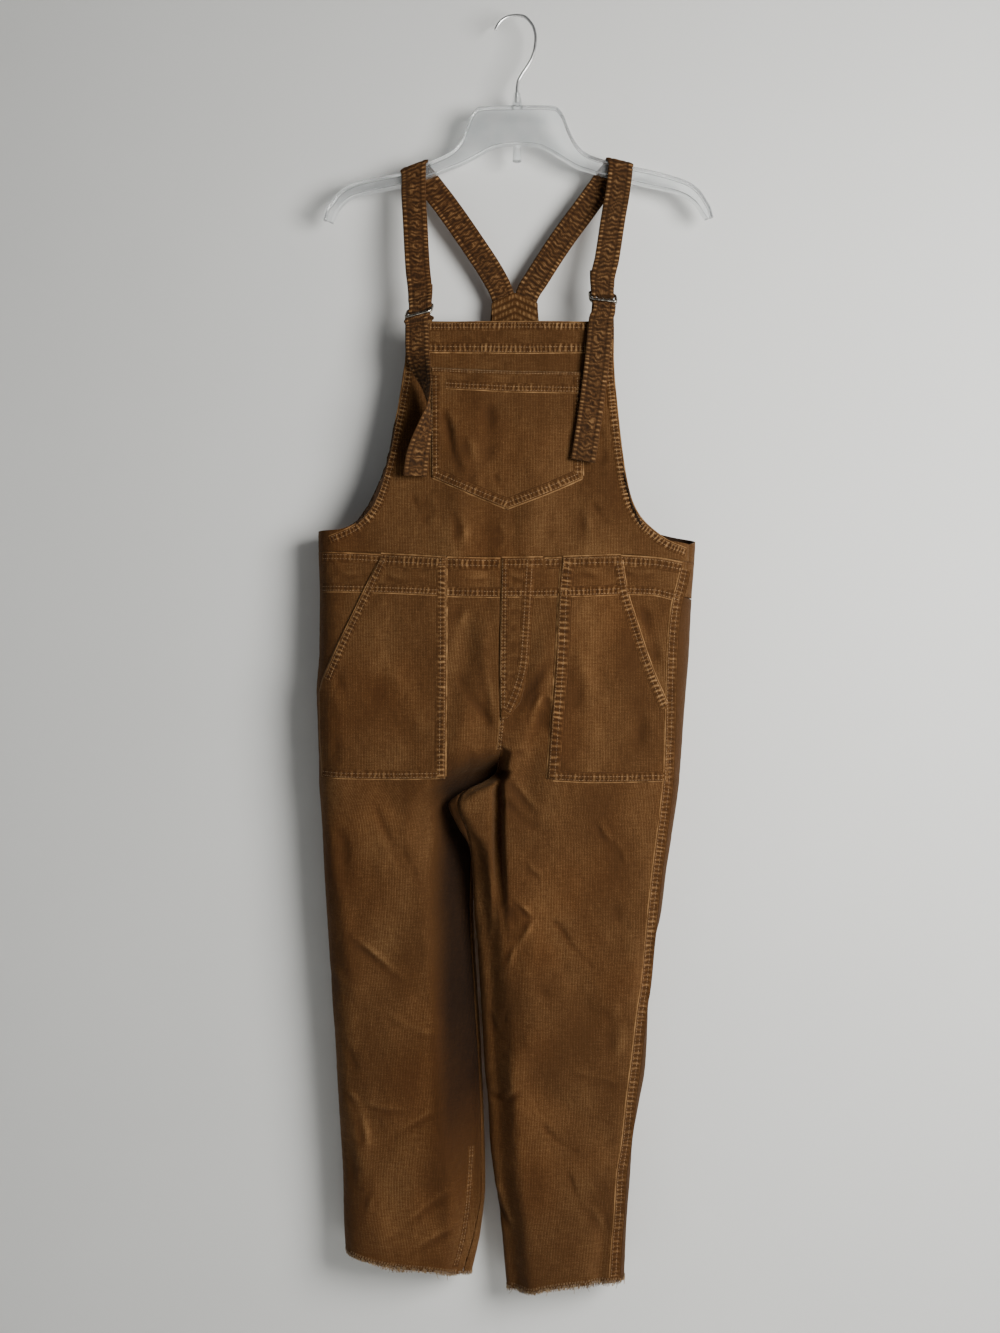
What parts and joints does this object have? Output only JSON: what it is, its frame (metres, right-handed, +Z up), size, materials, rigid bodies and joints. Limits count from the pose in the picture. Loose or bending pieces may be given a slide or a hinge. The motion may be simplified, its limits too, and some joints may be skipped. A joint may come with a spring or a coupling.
{
  "type": "bib overalls on a clothes hanger",
  "caption": "Straight-leg corduroy bib overalls with slanted patch pockets, a bib pocket, ring buckles and raw frayed hems, hanging flat from a clear clothes hanger with a steel hook",
  "frame": {"origin": "the underside of the top of the hanger's hook, where it rests on a rail", "axes": "+Z up, +X to the wearer's left, which is the viewer's right from the front, and -Y out of the front of the garment"},
  "size_m": [0.4388, 0.083, 1.4122],
  "materials": {
    "corduroy": "soft fine-wale corduroy, worn pale along the seams",
    "frayed_cotton": "loose cotton threads",
    "aged_brass": "aged silvery brass",
    "hook_steel": "bright plated steel wire",
    "clear_plastic": "clear moulded plastic"
  },
  "bodies": {
    "root": {"back_facing": "corduroy", "back_leg_l": "corduroy", "back_leg_r": "corduroy", "back_panel": "corduroy", "bib": "corduroy", "bib_pocket": "corduroy", "bib_strap_l": "corduroy", "bib_strap_r": "corduroy", "buckle_front_ring_l": "aged_brass", "buckle_front_ring_r": "aged_brass", "buckle_rear_ring_l": "aged_brass", "buckle_rear_ring_r": "aged_brass", "fly_flap": "corduroy", "frayed_hem_l": "frayed_cotton", "frayed_hem_r": "frayed_cotton", "front_leg_l": "corduroy", "front_leg_r": "corduroy", "hanger": "clear_plastic", "hanger_hook": "hook_steel", "hip_pocket_l": "corduroy", "hip_pocket_r": "corduroy", "shoulder_strap_l": "corduroy", "shoulder_strap_r": "corduroy", "waistband_back": "corduroy", "waistband_front": "corduroy"}
  },
  "joints": []
}
